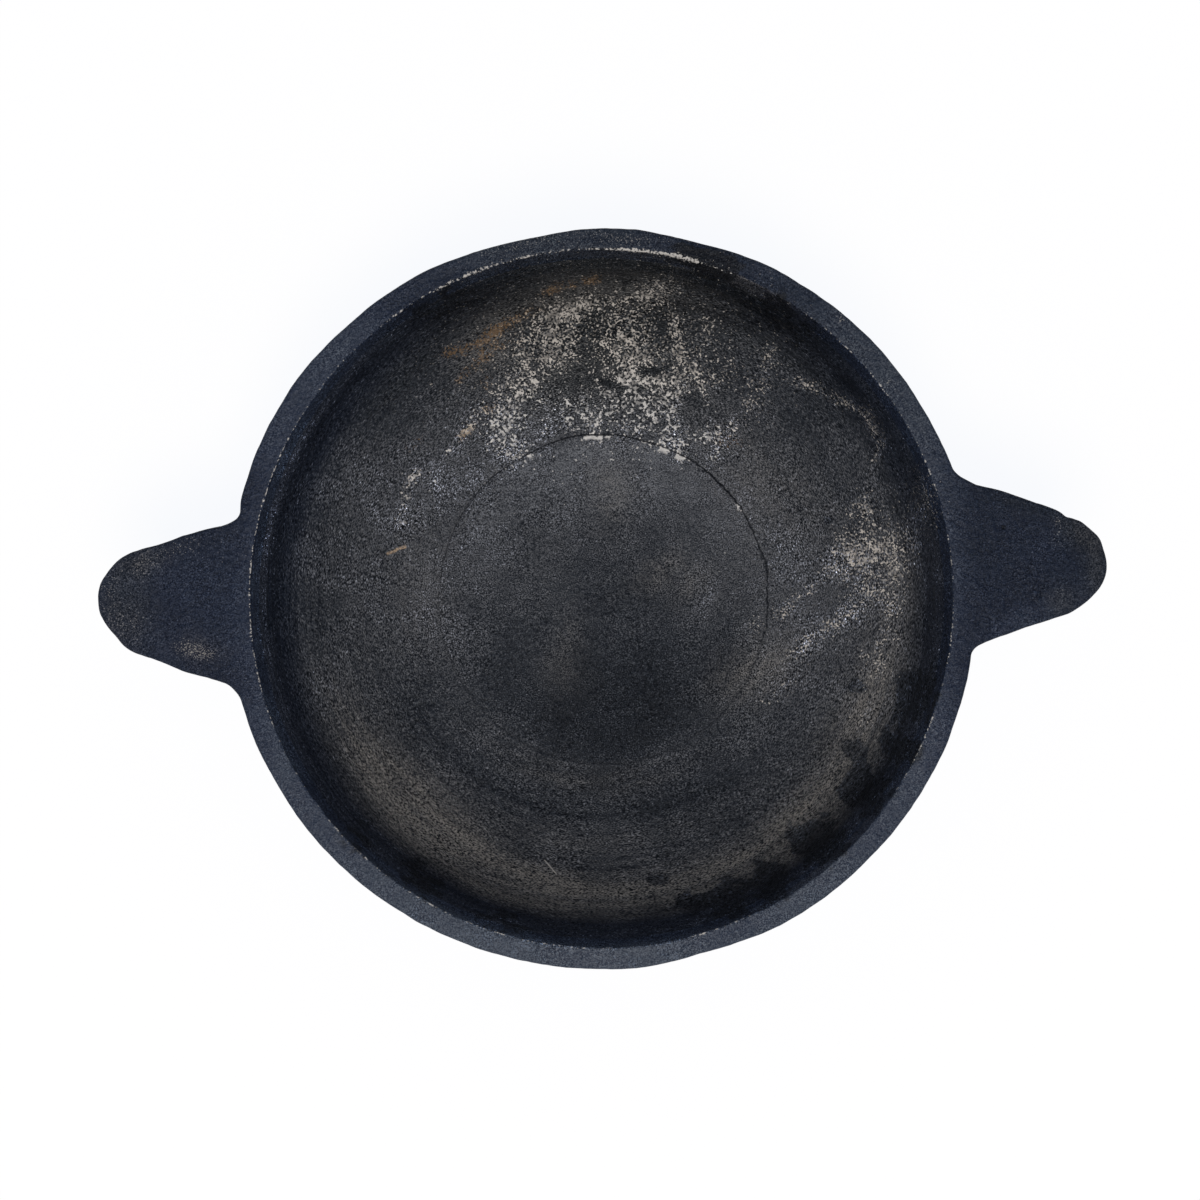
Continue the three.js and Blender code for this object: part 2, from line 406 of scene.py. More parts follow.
class Lug:
    """One lug: its outline in the pan's plan, and the joint line that it shares with the rim."""

    def __init__(self, side, offset, fillets, joint):
        self.side = side
        self.offset = offset
        self.fillets = fillets
        self.joint = joint
        corner = lug_half_width(joint)
        signs = np.array([-1, 1])
        waves = edge_wave(self.place(np.stack([np.full(2, joint), signs * corner], axis=-1)))
        self.corners = signs * (corner + waves / math.cos(LUG_TAPER))
        spread = np.linspace(self.corners[0] + EDGE_ROUND, self.corners[1] - EDGE_ROUND, LUG_STEPS + 1)
        self.joint_line = self.place(np.stack([np.full_like(spread, joint), spread], axis=-1))
        self.corner_points = [self.place(np.array([joint, v])) for v in self.corners]

    def place(self, uv):
        """From the lug's own u and v to the pan's x and y."""
        return np.stack([self.side * uv[..., 0], self.side * uv[..., 1] + self.offset], axis=-1)

    def face(self, uv):
        """The same for a direction."""
        return self.side * uv

    def root(self, sign):
        """The outline from the rim to the joint's corner on one side, with its normals."""
        fillet = self.fillets[0 if sign < 0 else 1]
        line, normal = lug_root(fillet, sign * self.side * self.offset, self.joint)
        flip = np.array([1, sign])
        return self.place(line * flip), self.face(normal * flip)

    def blade(self):
        """The outline from the joint's first corner round the tip to the second, with its normals."""
        centre = np.array([LUG_TIP - LUG_TIP_RADIUS, 0])
        turn = math.pi / 2 - LUG_TAPER
        tip = centre + LUG_TIP_RADIUS * toward(np.linspace(-turn, turn, 80))
        corner = lug_half_width(self.joint)
        line = np.concatenate([[[self.joint, -corner]], tip, [[self.joint, corner]]])
        line = even_steps(line, np.linalg.norm(np.diff(line, axis=0), axis=1).sum() / LUG_STEPS)
        tangent = np.gradient(line, axis=0)
        tangent /= np.linalg.norm(tangent, axis=1, keepdims=True)
        normal = np.stack([tangent[:, 1], -tangent[:, 0]], axis=-1)
        normal[0], normal[-1] = (0, -1 / math.cos(LUG_TAPER)), (0, 1 / math.cos(LUG_TAPER))
        line, normal = self.place(line), self.face(normal)
        return line + normal * edge_wave(line)[:, None], normal

    def thickness(self, points):
        """How thick the lug is at points of the plan."""
        share = (self.side * points[..., 0] - self.joint) / (LUG_TIP - self.joint)
        root = RIM_TOP - RIM_UNDERSIDE
        return root + (LUG_TIP_THICKNESS - root) * np.clip(share, 0, 1)


right_lug = Lug(1, RIGHT_LUG_OFFSET, RIGHT_LUG_FILLETS, RIGHT_JOINT)
left_lug = Lug(-1, LEFT_LUG_OFFSET, LEFT_LUG_FILLETS, LEFT_JOINT)


def rim_outline():
    """The rim's outside anticlockwise, with its normals and how much each edge there is rounded."""
    lines, normals, rounds = [], [], []

    def add(line, normal, rounding):
        lines.append(line)
        normals.append(normal)
        rounds.append(np.full(len(line), rounding))

    def displaced(line, normal):
        angle = np.arctan2(line[:, 1], line[:, 0])
        radius = np.linalg.norm(line, axis=1)
        on_rim = 1 - ramp(radius, RIM_OUTER_RADIUS, RIM_OUTER_RADIUS + 6)
        return line + normal * (on_rim * rim_circle(angle) + edge_wave(line))[:, None]

    lugs = (right_lug, left_lug)
    for lug, following in zip(lugs, lugs[::-1], strict=True):
        first, first_normal = lug.root(-1)
        last, last_normal = (part[::-1] for part in lug.root(1))
        add(displaced(first, first_normal), first_normal, EDGE_ROUND)
        add(lug.corner_points[0][None], lug.face(np.array([[0, -1.0]])), EDGE_ROUND)
        add(lug.joint_line, np.zeros_like(lug.joint_line), 0)
        add(lug.corner_points[1][None], lug.face(np.array([[0, 1.0]])), EDGE_ROUND)
        add(displaced(last, last_normal), last_normal, EDGE_ROUND)
        start = math.atan2(last[-1, 1], last[-1, 0])
        end = following.root(-1)[0][0]
        turn = (math.atan2(end[1], end[0]) - start) % (2 * math.pi)
        angle = start + np.linspace(0, turn, round(turn * RIM_OUTER_RADIUS / STEP))[1:-1]
        facing = toward(angle)
        add(displaced(RIM_OUTER_RADIUS * facing, facing), facing, EDGE_ROUND)
    return np.concatenate(lines), np.concatenate(normals), np.concatenate(rounds)


def top_skin(points):
    """The height of the skin on the rim's and the lugs' top."""
    cast = cast_skin(at_height(points, RIM_TOP))
    return 0.7 * cast + plan_marks(points[..., 0], points[..., 1], SKIN_MARKS)


def under_skin(points):
    """The same on their underside."""
    return 0.9 * cast_skin(at_height(points, RIM_UNDERSIDE))


def edge_stations(outline, normal, rounding, thickness):
    """The stations round an outer edge, from the flat top over the side to the flat underside."""

    def rounded(turn):
        inset = rounding * (1 - np.sin(turn))
        return outline - normal * inset[:, None], rounding * (1 - np.cos(turn))

    stations = []
    for turn in TOP_TURNS:
        points, drop = rounded(turn)
        stations.append(at_height(points, RIM_TOP + top_skin(points) * np.cos(turn) - drop))
    for share in (0.25, 0.5, 0.75):
        height = RIM_TOP - rounding - share * (thickness - 2 * rounding)
        stations.append(at_height(outline, height))
    for turn in UNDER_TURNS:
        points, rise = rounded(turn)
        under = RIM_TOP - thickness + under_skin(points) * np.cos(turn)
        stations.append(at_height(points, under + rise))
    return stations


# Meshes


def grid_quads(rows, columns, wrap_rows, wrap_columns):
    """The quads of a grid of points, as indices."""
    row, column = np.meshgrid(
        np.arange(rows if wrap_rows else rows - 1),
        np.arange(columns if wrap_columns else columns - 1),
        indexing="ij",
    )
    row, column = row.ravel(), column.ravel()
    next_row, next_column = (row + 1) % rows, (column + 1) % columns
    quads = [
        row * columns + column,
        row * columns + next_column,
        next_row * columns + next_column,
        next_row * columns + column,
    ]
    return np.stack(quads, axis=-1)


def make_piece(name, node, slot, points, faces, shown):
    """A closed piece that stands for a CAD node.

    `shown` is 1 for points on the inside and the top, and 0 elsewhere.
    """
    mesh = bpy.data.meshes.new(name)
    mesh.from_pydata(points * MM, [], faces)
    for mark, values in surface_marks(points, shown).items():
        mesh.attributes.new(mark, "FLOAT", "POINT").data.foreach_set("value", values.astype(np.float32))
    mesh.materials.append(irons[slot])
    mesh.validate()
    piece = bpy.data.objects.new(name, mesh)
    bpy.context.collection.objects.link(piece)
    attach(piece, "root")
    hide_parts(node)
    clean_seams(mesh)


def clean_seams(mesh):
    """Joins points that coincide, turns every face outward and shades the mesh smooth."""
    work = bmesh.new()
    work.from_mesh(mesh)
    bmesh.ops.remove_doubles(work, verts=work.verts, dist=1e-7)
    bmesh.ops.dissolve_degenerate(work, dist=1e-8, edges=work.edges)
    bmesh.ops.recalc_face_normals(work, faces=work.faces)
    work.to_mesh(mesh)
    work.free()
    mesh.shade_smooth()
    mesh.set_sharp_from_angle(angle=SHARP_ANGLE)


def first_rows(grid, count):
    """1 for a grid's first rows, and 0 for the others."""
    return (np.arange(len(grid)) < count).astype(float)


def shell_grid(inside, normal, outside):
    """The closed ring between an inside and an outside section, and which rows are inside."""
    inner = turn_section(inside, normal, bowl_skin)
    outer = below_flats(turn_section(outside, -normal, cast_skin))
    share = np.linspace(0, 1, JOINT_STEPS + 1)[1:-1, None, None]
    top_joint = inner[-1] + share * (outer[-1] - inner[-1])
    low_joint = outer[0] + share * (inner[0] - outer[0])
    grid = np.concatenate([inner, top_joint, outer[::-1], low_joint])
    return grid, first_rows(grid, len(inner))


def disc_grid():
    """The floor disc from the middle of its top round its edge to the middle of its underside.

    Also which of its rows are on top.
    """
    top_radius = np.linspace(0, FLOOR_RADIUS - FOOT_ROUND, DISC_STEPS + 1)[1:]
    turn = np.radians((30, 60, 90))
    edge_radius = FLOOR_RADIUS - FOOT_ROUND * (1 - np.sin(turn))
    edge_drop = FOOT_ROUND * (1 - np.cos(turn))
    bare_edge = FLOOR_TOP - FLOOR_STEP - WALL_THICKNESS
    radius = np.concatenate(
        [top_radius, edge_radius, [FLOOR_RADIUS] * 2, edge_radius[::-1], top_radius[::-1]]
    )
    height = np.concatenate(
        [
            np.full(len(top_radius), FLOOR_TOP),
            FLOOR_TOP - edge_drop,
            [FLOOR_TOP / 2, bare_edge],
            edge_drop[::-1],
            np.zeros(len(top_radius)),
        ]
    )
    on_top = height > FLOOR_TOP - FLOOR_STEP
    angle = ANGLES[None, :]
    shifted = radius[:, None] + on_top[:, None] * floor_shift(radius[:, None], angle)
    points = turned(shifted, angle, height[:, None])
    side = (points[..., 1] / FLOOR_RADIUS + 1) / 2
    tilt = FLOOR_STEP_BOTTOM + (FLOOR_STEP_TOP - FLOOR_STEP_BOTTOM) * side
    lift = np.where(on_top[:, None], bowl_skin(points) + tilt, 0)
    under = np.where(height[:, None] == 0, np.maximum(cast_skin(points), 0), 0)
    points[..., 2] += lift + under
    return points, on_top.astype(float)


def rim_grid(inside_foot_normal):
    """The rim from its inside over its top, round its outer edge and back along its underside.

    Also which of its rows are on the inside and the top.
    """
    outline, normal, rounding = rim_outline()
    angle = np.arctan2(outline[:, 1], outline[:, 0])
    facing = toward(angle)
    circle = RIM_NOISE_CIRCLE * facing
    edge_radius = RIM_INNER_RADIUS + oval_shift(RIM_INNER_RADIUS, angle)
    edge_radius = edge_radius + 0.25 * noise(circle, 1.7, 21) + 0.14 * noise(circle, 0.55, 22)
    edge_radius = edge_radius + round_marks(angle, INNER_EDGE_MARKS)
    edge_round = INNER_EDGE_ROUND + round_marks(angle, ROUNDER_EDGES)

    stations = []
    foot = rim_foot_radius() + oval_shift(rim_foot_radius(), angle)
    for share in (0, 0.2, 0.4, 0.6, 0.8, 1):
        height = RIM_UNDERSIDE + share * (RIM_TOP - edge_round - RIM_UNDERSIDE)
        radius = foot + share * (edge_radius - foot)
        lift = bowl_skin(turned(radius, angle, height)) * (1 - share)
        radius = radius + inside_foot_normal[0] * lift
        stations.append(turned(radius, angle, height + inside_foot_normal[1] * lift))
    for turn in TOP_TURNS[1:]:
        points = (edge_radius + edge_round * (1 - np.cos(turn)))[:, None] * facing
        drop = edge_round * (1 - np.sin(turn))
        stations.append(at_height(points, RIM_TOP - drop + top_skin(points) * np.sin(turn)))
    start = (edge_radius + edge_round)[:, None] * facing
    end = outline - normal * rounding[:, None]
    for share in np.linspace(0, 1, RIM_TOP_STEPS + 1)[1:-1]:
        points = start + share * (end - start)
        stations.append(at_height(points, RIM_TOP + top_skin(points)))
    upper = len(stations) + len(TOP_TURNS)
    stations += edge_stations(outline, normal, rounding, np.full(len(outline), RIM_TOP - RIM_UNDERSIDE))
    start = stations[-1][:, :2]
    end = stations[0][:, :2]
    for share in np.linspace(0, 1, RIM_UNDER_STEPS + 1)[1:-1]:
        points = start + share * (end - start)
        stations.append(at_height(points, RIM_UNDERSIDE + under_skin(points) * (1 - share)))
    return np.stack(stations), first_rows(stations, upper)


def lug_grid(lug):
    """A lug from the joint line over its top, round its edge and back along its underside.

    Also which of its rows are on top.
    """
    outline, normal = lug.blade()
    rounding = np.full(len(outline), EDGE_ROUND)
    normal[[0, -1]] *= math.cos(LUG_TAPER)
    edges = edge_stations(outline, normal, rounding, lug.thickness(outline))
    joint = lug.joint_line
    stations = []
    for share in np.linspace(0, 1, LUG_TOP_STEPS + 1)[:-1]:
        points = joint + share * (edges[0][:, :2] - joint)
        stations.append(at_height(points, RIM_TOP + top_skin(points)))
    upper = len(stations) + len(TOP_TURNS)
    stations += edges
    for share in np.linspace(0, 1, LUG_UNDER_STEPS + 1)[1:]:
        points = edges[-1][:, :2] + share * (joint - edges[-1][:, :2])
        under = RIM_TOP - lug.thickness(points)
        stations.append(at_height(points, under + under_skin(points)))
    return np.stack(stations), first_rows(stations, upper)


# What the surface carries. The columns of every table of patches are centre x, y, half-length,
# half-width, turn in degrees and strength, which is below zero where a patch has a gap

# Where the seasoning has worn off in specks
BARE_PATCHES = (
    (0, 76, 44, 32, 0, 0.7),
    (4, 93, 42, 17, 0, 0.38),
    (-32, 62, 14, 6, 95, 0.3),
    (-37, 60, 5, 7, 0, 0.46),
    (-38, 72, 4, 6, 0, 0.26),
    (-31, 69, 4, 6, 0, 0.22),
    (-27, 81, 12, 7, 60, 0.28),
    (-18, 93, 9, 6, 45, 0.3),
    (-12, 101, 9, 3.5, 20, 0.3),
    (-9, 104, 12, 2.6, 15, 0.7),
    (9, 93, 6, 3.5, 45, 0.3),
    (27, 93, 9, 2.6, -80, 0.62),
    (12, 79, 4.5, 3.4, -20, 0.48),
    (21, 70, 8, 10, 0, 0.36),
    (17.5, 69, 3.5, 5, 0, 0.22),
    (23, 80, 4, 3, 0, 0.22),
    (35.5, 77, 9.5, 1.7, -64, 0.58),
    (-1, 63, 6, 5, 60, 0.36),
    (-8, 66, 5, 3.5, 40, 0.16),
    (24, 58, 8, 5, -25, 0.32),
    (28, 52, 5, 4, -35, 0.45),
    (40.5, 58.5, 5, 4.5, 20, 0.62),
    (41, 50, 4, 3, 60, 0.6),
    (-33, 51, 5, 4, 20, 0.4),
    (-27, 54, 5, 4, 0, 0.3),
    (18, 108, 9, 4, 20, 0.72),
    (37, 97, 4, 6, 0, 0.3),
    (46, 80, 7, 3.5, 0, 0.34),
    (60, 87, 3.5, 7, -10, 0.56),
    (53, 70, 4, 3, -30, 0.6),
    (57, 76, 4, 3, 0, 0.56),
    (43, 82, 5, 4, 0, 0.3),
    (28, 77, 5, 5, 0, 0.25),
    (31, 59, 6, 3, 0, 0.3),
    (48, 62, 4, 4, 0, 0.52),
    (73, 76.3, 8, 2, -14, 0.85),
    (86.5, 69.2, 8, 1.6, -29, 0.95),
    (95.5, 60.6, 6, 1.6, -56, 1),
    (97.2, 50.5, 5.5, 1.6, 75, 0.95),
    (-44, 66, 8, 8, 40, 0.3),
    (-51.5, 57.8, 9, 2, 47, 0.95),
    (-5.5, 90, 5, 6.5, 0, -0.52),
    (-10, 79, 4.5, 4.5, 0, -0.36),
    (22, 97, 2.6, 4, 0, -0.42),
    (-3, 70, 3, 2.2, 0, -0.42),
    (31.5, 68, 2.5, 5, 0, -0.5),
    (-17, 55, 7, 3.5, 20, -0.45),
    (18, 82, 5, 1.4, 8, -0.8),
    (2, 77.5, 4, 1.3, -20, -0.7),
    (-21.5, 67.2, 3, 1.2, 20, -0.6),
    (92, 18, 12, 7, 20, 0.74),
    (87, 14, 8, 7, 0, 0.3),
    (99, 16, 10, 16, 0, 0.5),
    (106, 12, 5, 15, 0, 0.5),
    (93, 32, 7, 5, 40, 0.58),
    (96, 4, 6, 5, 60, 0.48),
    (86, 8, 4, 3, 0, 0.36),
    (90, -3, 6, 5, 70, 0.54),
    (86, -9, 5, 4, 80, 0.52),
    (80, -11, 5, 3, 30, 0.58),
    (75, -16, 5, 3.5, 60, 0.66),
    (69, -20, 5, 3, 0, 0.64),
    (75, 4, 4, 3, 40, 0.58),
    (81, 9, 4, 3, 30, 0.36),
    (69, -2, 5, 3, 40, 0.58),
    (64, -5, 4, 4, 80, 0.5),
    (56, -10, 4, 4, 0, 0.52),
    (66, -31, 5, 4, 60, 0.48),
    (60, -37, 6, 2.5, 8, 0.48),
    (98, -24, 6, 12, 0, 0.66),
    (95, -44, 5, 6, 30, 0.6),
    (103, -8, 4, 11, 0, 0.5),
    (112, 34, 11, 4, 104, 0.55),
    (43, 13, 5, 2, 60, 0.58),
    (-71, 35, 10, 2.9, 74, 0.88),
    (-67, 45, 6, 3.4, 30, 0.68),
    (-60.5, 41.5, 4.5, 2.6, 70, 0.78),
    (-73, 27, 4, 2, 10, 0.54),
)
# Where the lugs are browner
BROWN_TIPS = (
    (162, 23, 9, 6, -40, 0.9),
    (169, 10, 5, 12, 0, 0.8),
    (156, -1, 5, 6, 0, 0.7),
    (143, 32, 14, 3, -18, 0.6),
    (-162, 0, 10, 14, 0, 0.7),
    (-150, 16, 16, 5, 18, 0.5),
)
# Fine pale grains on the lugs and the rim
SPRINKLES = (
    (-140, -17, 7, 4, -8, 0.85),
    (-161, -9, 8, 9, 0, 0.55),
    (-157, 11, 10, 5, 18, 0.55),
    (-168, 2, 4, 8, 0, 0.45),
    (-130, 15, 12, 9, 0, 0.3),
    (-143, 18, 10, 4, 18, 0.4),
    (-133, -19, 4, 3, 0, 0.5),
    (155, 26, 3, 2, -60, 0.55),
    (155, 20, 4, 3, 0, 0.4),
    (157, 2, 4, 3, 0, 0.45),
    (164, 21, 6, 4, -30, 0.35),
    (140, 10, 16, 12, 0, 0.18),
    (-26, 121, 22, 3.4, 12, 0.6),
    (8, 122, 15, 3, -4, 0.7),
    (44, 114, 12, 2.2, -22, 0.15),
    (81.5, 95, 2.6, 2, 0, 0.8),
    (97.6, 73.6, 1.5, 1.2, 0, 0.9),
)
RUST_PATCHES = (
    (-38.5, 95, 5.5, 2.6, 30, 0.95),
    (-31.5, 98.8, 6, 2, 22, 0.62),
    (-24.5, 103, 5, 1.6, 18, 0.42),
    (-17.5, 109.3, 4.2, 1.6, 20, 0.85),
    (-10.5, 111, 1.8, 1.3, 0, 0.6),
    (-3.5, 112.2, 4.2, 1.4, 8, 0.9),
    (-53, 88, 4.5, 2.4, 22, 0.85),
    (-44.5, 91, 4.5, 2, 25, 0.6),
    (-42.5, 86, 3.6, 2.4, 30, 0.68),
    (-49, 80.5, 5, 1.8, 45, 0.6),
    (-37, 90, 3.4, 2.2, 30, 0.55),
    (-30, 92, 4, 2.5, 0, 0.34),
    (-41, 78, 5, 3, 60, 0.4),
    (-40.7, 69, 3.2, 2.4, 20, 0.6),
    (-49, 60, 4, 1.8, 45, 0.75),
    (-67, 56, 4, 2, 45, 0.45),
    (46, 57, 6, 4, -30, 0.35),
)
DUST_PATCHES = (
    (56, -26, 16, 9, 30, 0.45),
    (20, 9, 11, 5, 30, 0.35),
    (-12, -12, 6, 10, 0, 0.14),
    (-14, -26, 8, 9, 0, 0.22),
    (33, 5, 8, 4, 40, 0.3),
    (3, 40, 8, 12, 0, 0.35),
    (62, 40, 26, 12, -40, 0.25),
    (-66, 2, 10, 26, 0, 0.12),
    (-22, 104, 24, 5, 16, 0.22),
    (-42, 88, 12, 8, 32, 0.32),
    (163, 23, 8, 5, -40, 0.12),
    (168, 10, 4, 12, 0, 0.09),
    (157, -1, 5, 5, 0, 0.12),
    (-163, -8, 9, 12, 0, 0.16),
    (-158, 12, 9, 5, 18, 0.18),
    (-137, -17.5, 8, 4.5, -5, 0.22),
)
# A smooth grey haze on the floor near its ring line, on its +Y side: partly painted sheen, where the
# floor faces the lamp
HAZE_AND_SHEEN_PATCHES = (
    (-4, 56, 10, 4, 0, 0.5),
    (19, 53, 8, 4, -25, 0.5),
    (-3, 52, 20, 7, 0, 0.55),
    (0, 44, 26, 9, 0, 0.45),
    (25, 43, 12, 8, -40, 0.65),
    (-27, 42, 12, 9, 40, 0.5),
    (41, 27, 8, 13, 20, 0.45),
    (-42, 22, 8, 16, -10, 0.35),
    (5, 34, 20, 8, 0, 0.2),
)
# Chips along the floor's ring line, rubbed bright: angle, half-angle, strength
RING_CHIPS = (
    (93, 3.4, 1),
    (87, 1.5, 0.45),
    (75, 1.4, 0.45),
    (67.5, 2.2, 1),
    (61, 2.4, 0.85),
    (116.5, 1.8, 0.7),
    (33.5, 2.6, 0.48),
)
# Distances to a thin line are kept up to here
LINE_REACH = 8.0
# A pale scratch and a stroke of rust: middle, half-length and turn in degrees
SCRATCH = (-18.2, -96.1, 3.5, -47)
RUST_STROKE = (-74, 17.6, 3.7, 26)
# Dust that lies in arcs: radius, half-width, middle angle, half-angle, strength. Near the wall's foot on
# the -Y side they are partly painted light, made strong to lift the shade that the wall casts there
DUST_AND_LIGHT_ARCS = (
    (101, 7.8, 225, 17, 1.55),
    (106, 6.5, 252, 18, 1.45),
    (108, 6.5, 284, 22, 1),
    (108, 7.5, 312, 14, 1.05),
    (103, 9, 335, 17, 0.68),
    (105, 8, 0, 16, 0.18),
    (88, 6, 245, 50, 0.14),
    (66, 5, 262, 30, 0.18),
)
# Dark blots: most lie along the wall's foot on its -Y side, a few high on the wall on its +Y side, and
# some are small spots
DARK_BLOTS = (
    (21, -100.6, 4.2, 3.4, 0, 0.9),
    (34, -106.5, 7.5, 3.2, 15, 0.85),
    (91.4, -30.6, 3.6, 3.2, 0, 1.05),
    (90.6, -54.4, 4.8, 4.2, 0, 0.8),
    (109, -33.3, 9.5, 5.5, 73, 1.1),
    (103.1, -51, 4.3, 4.5, 64, 1.3),
    (90.4, -65.8, 8.6, 6.2, 46, 1.2),
    (75, -84.2, 9.2, 6.8, 42, 1.2),
    (58.7, -97.7, 6.4, 5.2, 31, 1.15),
    (82.5, -73.5, 7, 2.3, -42, -1),
    (66.5, -91.5, 5, 1.8, -54, -0.6),
    (45, -104, 7, 4.2, 24, 0.85),
    (-34, -112, 12, 4, -18, 0.5),
    (-62, -98, 10, 4.5, -32, 0.6),
    (-84, -82, 12, 4.5, -45, 0.45),
    (34, 115, 14, 4.5, -16, 0.85),
    (60, 98, 18, 6, -32, 0.6),
    (-52, 103, 14, 5, 27, 0.6),
    (81.6, 28.2, 1.5, 1.4, 0, 0.85),
    (89.8, 53.2, 1.2, 1.1, 0, 0.75),
    (136.5, 24.5, 1.5, 1.3, 0, 0.7),
)
# Broad places where the skin is paler or darker than elsewhere. Partly painted light and shade: the floor
# is made paler on its +Y side, which faces the lamp, and darker on its -Y side; the rest is the skin's
# patchy tone
TONE_AND_LIGHT_PATCHES = (
    (0, 46, 42, 16, 0, 0.7),
    (48, 22, 18, 26, 0, 0.56),
    (-46, 26, 16, 26, 0, 0.43),
    (-72, 12, 18, 34, 0, 0.4),
    (-58, 58, 20, 14, 45, 0.25),
    (76, -4, 20, 28, 0, 0.55),
    (60, 50, 20, 12, -45, 0.2),
    (12, -32, 34, 22, 20, -0.5),
    (14, -66, 38, 16, 0, -0.4),
    (-46, -52, 26, 18, -45, -0.14),
    (8, 27, 9, 7, 0, -0.3),
    (10, 0, 16, 12, 0, -0.12),
    (-14, 3, 14, 13, 0, 0.22),
    (-34, 58, 18, 12, 40, 0.3),
    (-84, 34, 16, 26, 20, 0.18),
    (-20, 24, 10, 10, 0, 0.2),
    (-8, -10, 9, 9, 0, -0.12),
    (-50, 50, 18, 14, 45, 0.15),
    (56, 14, 9, 9, 0, 0.15),
    (62, 62, 14, 10, -45, 0.2),
    (98, -4, 12, 30, 0, 0.3),
    (96, -36, 12, 20, 20, 0.3),
    (145, -6, 18, 4, 19, 0.4),
    (162, 20, 9, 9, -40, -0.2),
    (-4, 11, 8, 7, 0, -0.2),
    (18, 82, 5, 1.4, 8, -0.6),
    (2, 77.5, 4, 1.3, -20, -0.5),
    (0, 102, 66, 10, 0, -0.6),
    (62, 74, 22, 14, -45, -0.25),
    (-66, 78, 22, 12, 45, -0.25),
    (60, 30, 9, 22, 27, 0.2),
    (-62, 12, 8, 16, 0, 0.2),
)
# Paler and darker rings: radius, half-width, amount
PALE_RINGS = (
    (48, 7, -0.12),
    (61.5, 6, 0.24),
    (71, 3, 0.1),
    (78.5, 1.2, -0.14),
    (94.5, 1, -0.12),
    (101, 4, 0.1),
)
# What is paler or darker in some directions only: angle, half-angle, amount
# Paler at the wall's foot; on the -Y side this is painted light, lifting the shade that the wall casts
# there
FOOT_RING_TONES = ((265, 62, 0.38), (165, 40, 0.26), (348, 25, 0.22))
# The rim paler on its -Y side is a painted sheen, where it reflects the lamp
RIM_TONES = ((264, 52, 0.5), (5, 34, 0.2), (74, 13, -0.4))
HIGH_WALL_TONES = ((74, 24, -0.4), (45, 16, -0.25), (132, 16, -0.22))
# The rim's inner edge, where it is chipped and where it is rubbed more: angle, half-angle, strength
EDGE_CHIPS = ((76.3, 3, 0.8), (83, 4.5, 0.5))
EDGE_RUBS = ((333, 8, 0.5), (352, 4, 0.35))
# Where the floor's ring line is darker, and where the rim is warmer: angle, half-angle, strength
DARK_LINES = ((40, 20, 0.7), (90, 34, 0.3), (4, 16, 0.5))
WARM_RIM = ((64, 58, 0.55), (98, 17, 0.75), (42, 20, 0.25))
FOOT_RING_RADIUS = 108.2
FOOT_RING_HALF_WIDTH = 3.2


def straight_mark(line, x, y):
    """How far points lie from a straight mark, with a sign for the side, and which points are near it."""
    middle_x, middle_y, half_length, turn = line
    along, across = turned_axes(x - middle_x, y - middle_y, turn)
    near = ramp(abs(along), half_length + 0.6, half_length - 0.6) * ramp(abs(across), LINE_REACH, 4)
    return across, near


